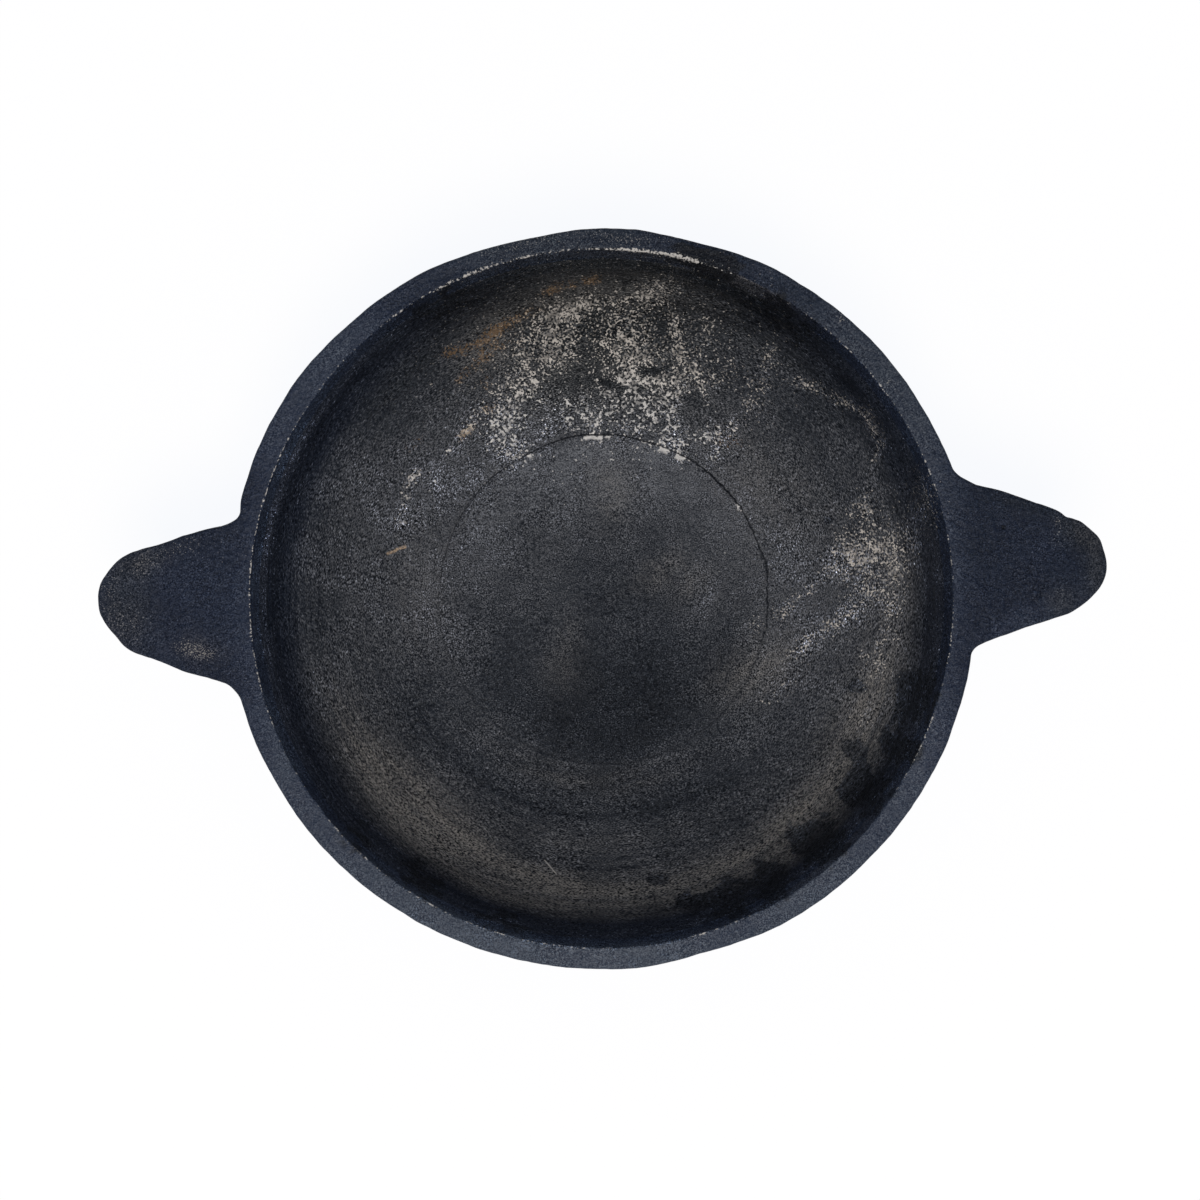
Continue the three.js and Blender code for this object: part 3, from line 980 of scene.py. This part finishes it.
def surface_marks(points, shown):
    """What every point carries for its material: how much of each mark, and distances to thin lines."""
    x, y, z = points.T
    radius = np.hypot(x, y)
    angle = np.arctan2(y, x)
    inner = radius < RIM_INNER_RADIUS + 0.3
    high_wall = ramp(z, 30, 42) * inner
    on_top = ramp(z, RIM_UNDERSIDE - 4, RIM_UNDERSIDE)
    lugs = ramp(abs(x), RIM_INNER_RADIUS - 12, RIM_OUTER_RADIUS + 4) * on_top
    on_rim = ramp(z, RIM_UNDERSIDE, RIM_TOP) * (1 - lugs)

    def at(centre, half_width):
        return hump(angle, centre, half_width)

    def patches(rows, most=1.0):
        return shown * np.clip(plan_marks(x, y, rows), 0, most)

    # How much the rim's inner edge is rubbed
    edge_radius = RIM_INNER_RADIUS + oval_shift(RIM_INNER_RADIUS, angle)
    edge = np.hypot(radius - edge_radius - 0.2, z - RIM_TOP + 0.2)
    circle = RIM_NOISE_CIRCLE * toward(angle)
    chipped = round_marks(angle, EDGE_CHIPS)
    reach = 0.36 + 1.15 * chipped + 0.55 * at(110, 14)
    patchy = 0.75 + 0.35 * noise(circle, 2.2, 51) + 0.3 * noise(circle, 0.8, 52)
    patchy = patchy * (1 - 0.75 * at(62, 10)) + 0.7 * at(175, 20) + 0.5 * chipped
    patchy = patchy * (1 - 0.25 * at(93, 5)) * (1 - 0.45 * at(131, 12))
    patchy = patchy * (1 - 0.8 * at(309, 15)) + round_marks(angle, EDGE_RUBS)
    wear = (0.5 + 0.5 * at(92, 34)) * patchy * band(edge, 0, reach)

    # How pale the skin is: in patches, in rings, on the lugs and the rim, and then up and down the wall.
    # Part of it is painted light and shade: the floor paler towards +Y and darker towards -Y, the rim
    # paler on its -Y side, and the wall's foot paler or darker in some directions
    pale_and_light = 1 + plan_marks(x, y, TONE_AND_LIGHT_PATCHES)
    uneven = 1 + noise(points, 26, 53)
    wander = 1.2 * noise(points, 30, 54)
    for centre, half_width, amount in PALE_RINGS:
        pale_and_light = pale_and_light + amount * uneven * band(radius + wander, centre, half_width)
    foot_ring = band(radius, FOOT_RING_RADIUS, FOOT_RING_HALF_WIDTH)
    pale_and_light = pale_and_light + round_marks(angle, FOOT_RING_TONES) * foot_ring
    pale_and_light = pale_and_light * (1 - np.where(x > 0, 0.45, 0.40) * lugs)
    pale_and_light = pale_and_light * (1 + on_rim * round_marks(angle, RIM_TONES))
    tone = 0.7 * ramp(z, 44, 52) * at(168, 24) + 0.25 * ramp(z, 52, 58) * at(262, 32)
    pale_and_light = pale_and_light * (1 + high_wall * (tone + round_marks(angle, HIGH_WALL_TONES)))
    # Painted shade: the skin is made darker at the wall's foot towards 150, 46 and 240 degrees
    tone = -0.24 * at(150, 28) - (0.2 + 0.22 * ramp(radius, 106, 110)) * at(46, 14)
    tone = tone - 0.2 * at(240, 28) * ramp(radius, 107, 110)
    pale_and_light = pale_and_light * (1 + ramp(radius, 97, 104) * ramp(z, 52, 40) * inner * tone)

    # How strong its grain is. Strong grain makes the skin paler on the whole, which is taken off again
    sand = 0.72 + 0.28 * ramp(radius, 10, 60)
    sand = sand + (1 - 0.65 * at(232, 50)) * ramp(z, 22, 38) * inner
    sand = sand - (0.36 - 0.28 * at(72, 42)) * on_rim
    pale_and_light = pale_and_light / (1 + np.where(inner, 0.28, 0.12) * (sand - 1))

    # Dust, which reaches part of the way up the wall and is partly painted light near the wall's foot on
    # the -Y side. Above it the wall is blue, partly painted reflection
    dust_and_light = plan_marks(x, y, DUST_PATCHES)
    for centre, half_width, middle, half_angle, strength in DUST_AND_LIGHT_ARCS:
        dust_and_light = dust_and_light + strength * at(middle, half_angle) * band(radius, centre, half_width)
    higher = 9 * at(318, 26)
    dust_and_light = dust_and_light * np.where(radius < RIM_INNER_RADIUS - 1, ramp(z, 40 + higher, 28 + higher), 1)
    dust_and_light = dust_and_light + 0.16 * at(86, 30) * inner * ramp(z, 16, 22) * ramp(z, 50, 36)
    dust_and_light = dust_and_light + (0.1 * at(88, 30) + 0.28 * at(66, 9)) * high_wall * ramp(z, 52, 60)
    # The wall's blue is partly the iron's own blue-black and partly painted reflection of a bluish sky
    blue_tone_and_sheen = ramp(z + 7 * at(165, 40) - higher, 22, 36) * inner * ramp(z, RIM_TOP, RIM_TOP - 5)
    blue_tone_and_sheen = blue_tone_and_sheen * (1 - 0.3 * at(20, 30)) * (1 - 0.95 * at(85, 36))
    warm = np.where(inner, at(90, 28), round_marks(angle, WARM_RIM)) * ramp(radius, 56, 84)
    warm = warm + plan_marks(x, y, BROWN_TIPS)

    seam = radius - FLOOR_RADIUS - floor_shift(FLOOR_RADIUS, angle)
    near_seam = (shown > 0) & (z < FLOOR_TOP + 4)
    on_floor = (z < FLOOR_TOP + 2) * ramp(seam, 1, -2)
    scratch, near_scratch = straight_mark(SCRATCH, x, y)
    stroke, near_stroke = straight_mark(RUST_STROKE, x, y)

    return {
        "bare": patches(BARE_PATCHES, 1.25),
        # Painted light and shade on the bare specks: on the +Y side brighter near the floor and dimmer
        # towards the rim, elsewhere a little dimmer
        "painted_speck_light": np.where(y > 40, 1.2 - 0.45 * ramp(radius, 62, 106), 0.83),
        "far": np.maximum(ramp(radius, 68, 92), ramp(x, 44, 54)),
        "swept": ramp(radius, FLOOR_RADIUS - 2.5, FLOOR_RADIUS + 0.5) * (1 - 0.6 * high_wall),
        "sand": np.where(shown > 0, sand, 1),
        "sprinkle": patches(SPRINKLES),
        "rust": patches(RUST_PATCHES),
        "dust_and_light": shown * np.clip(dust_and_light, 0, 1),
        "haze_and_sheen": patches(HAZE_AND_SHEEN_PATCHES) * on_floor,
        "blot": patches(DARK_BLOTS),
        "worn": shown * np.clip(wear, 0, 1),
        "blue_tone_and_sheen": np.where(shown > 0, blue_tone_and_sheen, 0.6),
        "warm": shown * np.clip(warm, 0, 1),
        "pale_and_light": np.where(shown > 0, np.clip(pale_and_light, 0.35, 2.6), 0.9),
        "seam": np.where(near_seam, np.clip(seam, -LINE_REACH, LINE_REACH), LINE_REACH),
        "chips": round_marks(angle, RING_CHIPS),
        "crack": np.clip(0.3 + round_marks(angle, DARK_LINES), 0, 1),
        "scratch": scratch,
        "near_scratch": shown * near_scratch,
        "stroke": stroke,
        "near_stroke": shown * near_stroke,
    }


# Materials


class Nodes:
    """A short way to write a material's nodes."""

    def __init__(self, tree):
        self.tree = tree

    def add(self, kind, inputs=None, **settings):
        node = self.tree.nodes.new("ShaderNode" + kind)
        for key, value in settings.items():
            setattr(node, key, value)
        for key, value in (inputs or {}).items():
            if isinstance(value, bpy.types.NodeSocket):
                self.tree.links.new(value, node.inputs[key])
            else:
                node.inputs[key].default_value = value
        return node

    def math(self, operation, a, b=0.0):
        return self.add("Math", {0: a, 1: b}, operation=operation).outputs[0]

    def chain(self, operation, values):
        total = values[0]
        for value in values[1:]:
            total = self.math(operation, total, value)
        return total

    def plus(self, *values):
        return self.chain("ADD", values)

    def times(self, *values):
        return self.chain("MULTIPLY", values)

    def about(self, value, amount):
        """A noise value's distance from its middle, times an amount."""
        return self.times(self.math("SUBTRACT", value, 0.5), amount)

    def noise(self, where, size, detail=2.0, roughness=0.5):
        """Noise with features about `size` millimetres across."""
        inputs = {"Vector": where, "Scale": 1 / (size * MM), "Detail": detail, "Roughness": roughness}
        return self.add("TexNoise", inputs).outputs["Fac"]

    def sweeps(self, where, width, turns, detail=2.0):
        """Noise in level arcs about Z, `width` millimetres wide, and shorter with more `turns`."""
        flat = self.add("VectorMath", {0: where, 1: (1, 1, 0)}, operation="MULTIPLY").outputs[0]
        radius = self.add("VectorMath", {0: flat}, operation="LENGTH").outputs["Value"]
        height = self.add("SeparateXYZ", {0: where}).outputs[2]
        run = self.times(self.plus(radius, height), 1 / (width * MM))
        facing = self.add("VectorMath", {0: flat}, operation="NORMALIZE").outputs[0]
        across = self.add("CombineXYZ", {2: run}).outputs[0]
        inputs = {0: facing, 1: (turns, turns, 0), 2: across}
        place = self.add("VectorMath", inputs, operation="MULTIPLY_ADD").outputs[0]
        inputs = {"Vector": place, "Scale": 1.0, "Detail": detail}
        return self.add("TexNoise", inputs).outputs["Fac"]

    def steps(self, value, start, end, low=0.0, high=1.0):
        """From low to high, smoothly, while a value goes from start to end."""
        inputs = {"Value": value, "From Min": start, "From Max": end, "To Min": low, "To Max": high}
        return self.add("MapRange", inputs, interpolation_type="SMOOTHSTEP").outputs[0]

    def line(self, distance, half_width, soft):
        """1 within half a width of a line, from the distance to it."""
        return self.steps(self.math("ABSOLUTE", distance), half_width, half_width + soft, 1.0, 0.0)

    def between(self, share, first, second):
        """A value between two others."""
        return self.add("Mix", {0: share, 2: first, 3: second}).outputs[0]

    def mix(self, share, first, second, how="MIX"):
        """A colour between two others, each a socket or red, green and blue."""
        inputs = {0: share}
        for key, value in ((6, first), (7, second)):
            inputs[key] = (*value, 1) if isinstance(value, tuple) else value
        return self.add("Mix", inputs, data_type="RGBA", blend_type=how).outputs[2]

    def grey(self, value):
        return self.add("CombineColor", {0: value, 1: value, 2: value}).outputs[0]

    def mark(self, name):
        return self.add("Attribute", attribute_name=name).outputs["Fac"]


# The blue in these dark colours is partly the iron's own blue-black and partly painted reflection of a
# bluish sky
SOOT_BLUE = (0.0108, 0.0146, 0.0228)  # where the bowl is darkest
SOOT_GREY = (0.0172, 0.0181, 0.0216)  # where it is palest
WALL_BLUE = (0.0095, 0.0147, 0.0293)
LUG_BLUE = (0.0083, 0.0160, 0.0390)
RIM_BLUE = (0.0142, 0.0200, 0.0308)
BARE_IRON = (0.60, 0.572, 0.545)
BARE_TAN = (0.50, 0.42, 0.335)  # where there is rust as well, and partly far from the floor
WORN_IRON = (0.47, 0.44, 0.405)
GRAIN_TAN = (0.215, 0.198, 0.182)
RUST_BROWN = (0.116, 0.072, 0.039)
STROKE_BROWN = (0.34, 0.245, 0.165)
DUST_BROWN = (0.165, 0.150, 0.135)
WARM = (1.0, 0.92, 0.75)  # what the skin's colour is multiplied by where it is warmer
HAZE_AND_SHEEN_GREY = (0.102, 0.107, 0.122)
NEAR_BLACK = (0.0062, 0.0078, 0.0115)


def seasoned_iron(name, dark_colour, light_colour, sandiness, swept):
    """Seasoned cast iron: sandy grain, mottling, and the marks that the points carry.

    Where the bowl's mould was swept, its grain is drawn out round the bowl.
    """
    material = bpy.data.materials.new(name)
    material.use_nodes = True
    nodes = Nodes(material.node_tree)
    steps, times, plus, about = nodes.steps, nodes.times, nodes.plus, nodes.about
    mark, mix = nodes.mark, nodes.mix
    shader = material.node_tree.nodes["Principled BSDF"]
    where = nodes.add("TexCoord").outputs["Object"]
    grain = nodes.noise(where, 0.44, 1)
    if swept:
        grain = nodes.between(mark("swept"), grain, nodes.sweeps(where, 0.38, 112, 1))
    pebble = nodes.noise(where, 1.5, 1)
    # Painted glints: bright single grains that stand in for the lamp's sparkle on the sand
    painted_glint = nodes.noise(where, 0.7, 0)
    lumps = nodes.noise(where, 3.6, 2)
    grit = nodes.noise(where, 11.0, 3, 0.55)
    mottle = nodes.noise(where, 24.0, 4, 0.6)
    sweep = nodes.sweeps(where, 2.8, 3.6)
    speck = nodes.noise(where, 1.08, 2)
    fine_speck = nodes.noise(where, 0.78, 1)
    cluster = nodes.noise(where, 8.0, 3, 0.6)
    fleck = nodes.noise(where, 2.4, 1)
    bare_mark = mark("bare")
    rust_mark = mark("rust")
    worn_mark = mark("worn")
    sprinkle = mark("sprinkle")
    far = mark("far")

    # How bright the skin is: broadly, and then with its grain, which is stronger where it is paler, and
    # with painted glints
    power = plus(about(mottle, 1.7), about(sweep, 0.6 * sandiness))
    broad = times(nodes.math("POWER", 2.0, power), mark("pale_and_light"))
    rise = times(
        steps(broad, 0.5, 1.7, 0.65, 1.15),
        steps(grit, 0.38, 0.62, 0.7, 1.3),
        steps(bare_mark, 0.1, 0.8, 1.0, 1.4),
    )
    power = plus(
        times(about(grain, 11.0 * sandiness), rise),
        about(pebble, 1.2 * sandiness),
        steps(painted_glint, 0.70, 0.80, 0.0, 1.7 * sandiness),
    )
    power = times(power, mark("sand"))
    lift = times(nodes.math("POWER", 2.0, power), broad)

    share = steps(nodes.math("SQRT", times(broad, lift)), 0.55, 1.9)
    colour = mix(share, dark_colour, light_colour)
    # Blue on the wall: partly painted reflection of a bluish sky
    blue_tone_and_sheen = times(mark("blue_tone_and_sheen"), steps(lift, 0.6, 2.0, 1.0, 0.3))
    colour = mix(blue_tone_and_sheen, colour, WALL_BLUE)
    colour = mix(1.0, colour, nodes.grey(lift), "MULTIPLY")
    colour = mix(mark("warm"), colour, WARM, "MULTIPLY")

    # Grey haze, partly painted sheen, on the floor's +Y side
    haze_and_sheen = times(mark("haze_and_sheen"), steps(grain, 0.3, 0.7, 0.3, 1.15), steps(cluster, 0.38, 0.62, 0.45, 1.1))
    colour = mix(haze_and_sheen, colour, HAZE_AND_SHEEN_GREY)

    # Dust, partly painted light near the wall's foot
    dust_and_light = times(
        mark("dust_and_light"),
        steps(grain, 0.36, 0.66, 0.0, 1.25),
        steps(sweep, 0.36, 0.62, 0.6, 1.15),
        steps(mottle, 0.4, 0.56, 0.75, 1.1),
    )
    colour = mix(dust_and_light, colour, DUST_BROWN)

    # The dark blots
    blot = plus(mark("blot"), steps(cluster, 0.36, 0.64, -0.25, 0.25))
    blot = steps(blot, 0.32, 0.56)
    blot_dark = mix(1.0, NEAR_BLACK, nodes.grey(lift), "MULTIPLY")
    colour = mix(times(blot, 0.84), colour, blot_dark)

    rust = plus(rust_mark, about(lumps, 1.2), about(fine_speck, 3.2))
    rust = times(steps(rust, 0.50, 1.0), steps(rust_mark, 0.05, 0.3))
    colour = mix(rust, colour, RUST_BROWN)

    limit = steps(sprinkle, 0.0, 1.0, 0.78, 0.54)
    shown = steps(nodes.math("SUBTRACT", grain, limit), -0.04, 0.12)
    colour = mix(times(shown, steps(sprinkle, 0.02, 0.2)), colour, GRAIN_TAN)

    bare = times(bare_mark, steps(cluster, 0.40, 0.60, 0.85, 1.12), steps(lumps, 0.38, 0.62, 0.8, 1.18))
    limit = nodes.add("MapRange", {"Value": bare, "From Max": 1.25, "To Min": 0.75, "To Max": 0.438})
    shown = nodes.math("SUBTRACT", nodes.between(far, speck, fine_speck), limit.outputs[0])
    bare = times(
        steps(shown, 0.0, 0.048),
        steps(bare, 0.02, 0.12),
        steps(fleck, 0.36, 0.64, 0.34, 1.08),
    )
    tan = nodes.math("MAXIMUM", steps(rust_mark, 0.02, 0.5), times(far, 0.45))
    iron = mix(tan, BARE_IRON, BARE_TAN)
    # The bare specks' brightness carries painted light and shade
    colour = mix(times(bare, mark("painted_speck_light")), colour, iron)

    # The floor's ring line with its chips, a scratch, a stroke of rust and the rubbed edge of the rim
    seam = plus(mark("seam"), about(fleck, 1.6))
    crack = times(mark("crack"), nodes.line(seam, 0.12, 0.45))
    colour = mix(crack, colour, NEAR_BLACK)
    chip = plus(mark("chips"), about(speck, 1.6))
    chip = times(steps(chip, 0.42, 0.62), steps(seam, -2.3, -1.0), steps(seam, -0.35, -0.1, 1.0, 0.0))
    colour = mix(chip, colour, BARE_IRON)
    scratch = plus(mark("scratch"), about(lumps, 0.6))
    scratch = times(nodes.line(scratch, 0.06, 0.28), steps(mark("near_scratch"), 0.3, 0.7, 0.0, 0.6))
    colour = mix(scratch, colour, WORN_IRON)
    stroke = plus(mark("stroke"), about(fleck, 1.2))
    stroke = times(
        nodes.line(stroke, 0.3, 0.4),
        steps(fine_speck, 0.35, 0.6, 0.3, 1.0),
        steps(mark("near_stroke"), 0.3, 0.7),
    )
    colour = mix(stroke, colour, STROKE_BROWN)
    worn = plus(
        worn_mark,
        steps(speck, 0.34, 0.66, -0.18, 0.13),
        steps(fine_speck, 0.36, 0.64, -0.40, 0.30),
    )
    worn = times(steps(worn, 0.40, 0.85), steps(worn_mark, 0.04, 0.24))
    colour = mix(worn, colour, WORN_IRON)

    # How rough it is, how much it shines, and its relief
    rough = steps(mottle, 0.38, 0.62, 0.54, 0.64)
    rough = nodes.math("SUBTRACT", rough, times(blot, 0.06))
    shine = times(
        nodes.math("MINIMUM", lift, 2.4),
        0.335,
        steps(blot, 0.0, 1.0, 1.0, 0.7),
        steps(crack, 0.0, 1.0, 1.0, 0.2),
    )
    height = plus(
        times(grain, 0.3 * sandiness),
        times(pebble, 0.7 * sandiness),
        times(lumps, 0.6),
        times(sweep, 0.65 * sandiness),
    )
    relief = nodes.add("Bump", {"Strength": 1.0, "Distance": 0.0012, "Height": height}).outputs[0]
    for socket, value in (
        ("Base Color", colour),
        ("Roughness", rough),
        ("Specular IOR Level", shine),
        ("Normal", relief),
    ):
        material.node_tree.links.new(value, shader.inputs[socket])
    return material


# The pieces

irons = {
    "bowl_iron": seasoned_iron("bowl_iron", SOOT_BLUE, SOOT_GREY, 1.0, True),
    "rim_iron": seasoned_iron("rim_iron", LUG_BLUE, RIM_BLUE, 0.62, False),
}

inside, inside_normal, crease = bowl_section()
outside = inside - inside_normal * WALL_THICKNESS
outside[0, 0] = FLOOR_RADIUS
outside[-1] = (inside[-1, 0] + WALL_THICKNESS / math.sin(WALL_TOP_SLOPE), RIM_UNDERSIDE)
under_rim = np.clip((RIM_FILLET - (RIM_UNDERSIDE - outside[:, 1])) / RIM_FILLET, 0, 1)
outside[:, 0] += RIM_FILLET * (1 - np.sqrt(1 - under_rim**2))


def ring_piece(name, node, slot, grid, shown):
    """A piece whose grid closes on itself both ways."""
    rows, columns = grid.shape[:2]
    quads = grid_quads(rows, columns, True, True)
    make_piece(name, node, slot, grid.reshape(-1, 3), quads, np.repeat(shown, columns))


def disc_piece(name, node, slot, grid, shown):
    """A piece whose grid closes on itself round the pan and ends in a middle point at each end."""
    rows, columns = grid.shape[:2]
    points = np.concatenate([grid.reshape(-1, 3), [grid[0].mean(0), grid[-1].mean(0)]])
    top, bottom = rows * columns + np.arange(2)
    ring = np.arange(columns)
    following = (ring + 1) % columns
    last = (rows - 1) * columns
    faces = grid_quads(rows, columns, False, True).tolist()
    faces += np.stack([following, ring, np.full(columns, top)], axis=-1).tolist()
    faces += np.stack([last + ring, last + following, np.full(columns, bottom)], axis=-1).tolist()
    make_piece(name, node, slot, points, faces, np.concatenate([np.repeat(shown, columns), [1, 0]]))


def flap_piece(name, node, slot, grid, shown):
    """A piece whose grid stays open, with one face to close it at the joint."""
    rows, columns = grid.shape[:2]
    index = np.arange(rows * columns).reshape(rows, columns)
    cap = np.concatenate([index[0], index[1:, -1], index[-1, -2::-1], index[-2:0:-1, 0]])
    faces = [*grid_quads(rows, columns, False, False).tolist(), cap.tolist()]
    make_piece(name, node, slot, grid.reshape(-1, 3), faces, np.repeat(shown, columns))


for name, node, part in (
    ("pan_dish", "dish", slice(0, crease + 1)),
    ("pan_wall", "side_wall", slice(crease, None)),
):
    shell, shown = shell_grid(inside[part], inside_normal[part], outside[part])
    ring_piece(name, node, "bowl_iron", shell, shown)
disc_piece("pan_floor", "base_disc", "bowl_iron", *disc_grid())
ring_piece("pan_rim", "rim_band", "rim_iron", *rim_grid(inside_normal[-1]))
flap_piece("pan_left_lug", "left_lug", "rim_iron", *lug_grid(left_lug))
flap_piece("pan_right_lug", "right_lug", "rim_iron", *lug_grid(right_lug))


# The floor that it stands on, the light and the camera

# What the camera and reflections see of the floor is mostly its own even white. The rest is light that
# falls on it, so that the pan's shadow shows faintly, and bluish, because that rest is warm
FLOOR_GLOW = (0.91, 0.93, 0.97)
FLOOR_LIT = (0.10, 0.075, 0.035)
FLOOR_WHITE = (0.92, 0.92, 0.92)
FLOOR_HALF = 4.0  # metres


def pale_floor():
    material = bpy.data.materials.new("pale_floor")
    material.use_nodes = True
    material.node_tree.nodes.clear()
    nodes = Nodes(material.node_tree)
    glow = nodes.add("Emission", {"Color": (*FLOOR_GLOW, 1)})
    lit = nodes.add("BsdfDiffuse", {"Color": (*FLOOR_LIT, 1)})
    seen = nodes.add("AddShader", {0: glow.outputs[0], 1: lit.outputs[0]})
    plain = nodes.add("BsdfDiffuse", {"Color": (*FLOOR_WHITE, 1)})
    rays = nodes.add("LightPath").outputs
    seeing = nodes.plus(rays["Is Camera Ray"], rays["Is Glossy Ray"], rays["Is Transmission Ray"])
    mixed = nodes.add("MixShader", {0: seeing, 1: plain.outputs[0], 2: seen.outputs[0]})
    nodes.add("OutputMaterial", {"Surface": mixed.outputs[0]})
    mesh = bpy.data.meshes.new("floor")
    corners = [(x * FLOOR_HALF, y * FLOOR_HALF, 0) for x, y in ((-1, -1), (1, -1), (1, 1), (-1, 1))]
    mesh.from_pydata(corners, [], [(0, 1, 2, 3)])
    mesh.materials.append(material)
    floor = bpy.data.objects.new("floor", mesh)
    bpy.context.collection.objects.link(floor)


WORLD_COLOUR = (0.90, 0.97, 1.10)
WORLD_STRENGTH = 0.42
KEY_PLACE = (0.0, -1.45, 3.73)
KEY_TARGET = (0, 0, 0.03)
KEY_SIZE = 2.0
KEY_WATTS = 100
KEY_COLOUR = (1.0, 0.96, 0.90)


def studio():
    scene = bpy.context.scene
    scene.view_settings.view_transform = "Standard"
    world = bpy.data.worlds.new("studio")
    world.use_nodes = True
    world.node_tree.nodes["Background"].inputs["Color"].default_value = (*WORLD_COLOUR, 1)
    world.node_tree.nodes["Background"].inputs["Strength"].default_value = WORLD_STRENGTH
    scene.world = world
    lamp = bpy.data.lights.new("window", "AREA")
    lamp.shape = "DISK"
    lamp.size = KEY_SIZE
    lamp.energy = KEY_WATTS
    lamp.color = KEY_COLOUR
    light = bpy.data.objects.new("window", lamp)
    light.location = KEY_PLACE
    light.rotation_euler = (Vector(KEY_TARGET) - light.location).to_track_quat("-Z", "Y").to_euler()
    bpy.context.collection.objects.link(light)


CAMERA_HEIGHT = 900.0  # above the rim
SENSOR_WIDTH = 36
PHOTO_PIXELS = 1200
PHOTO_CENTRE = (601.5, 598.7)  # where the pan's middle is in the picture, in pixels
PHOTO_RIM_RADIUS = 373.8  # in pixels


def overhead_camera():
    pixel = RIM_OUTER_RADIUS / PHOTO_RIM_RADIUS
    data = bpy.data.cameras.new("overhead")
    data.sensor_width = SENSOR_WIDTH
    data.lens = SENSOR_WIDTH * CAMERA_HEIGHT / (PHOTO_PIXELS * pixel)
    camera = bpy.data.objects.new("overhead", data)
    half = PHOTO_PIXELS / 2
    x = (half - PHOTO_CENTRE[0]) * pixel
    y = (PHOTO_CENTRE[1] - half) * pixel
    camera.location = Vector((x, y, RIM_TOP + CAMERA_HEIGHT)) * MM
    bpy.context.collection.objects.link(camera)
    bpy.context.scene.camera = camera


pale_floor()
studio()
overhead_camera()
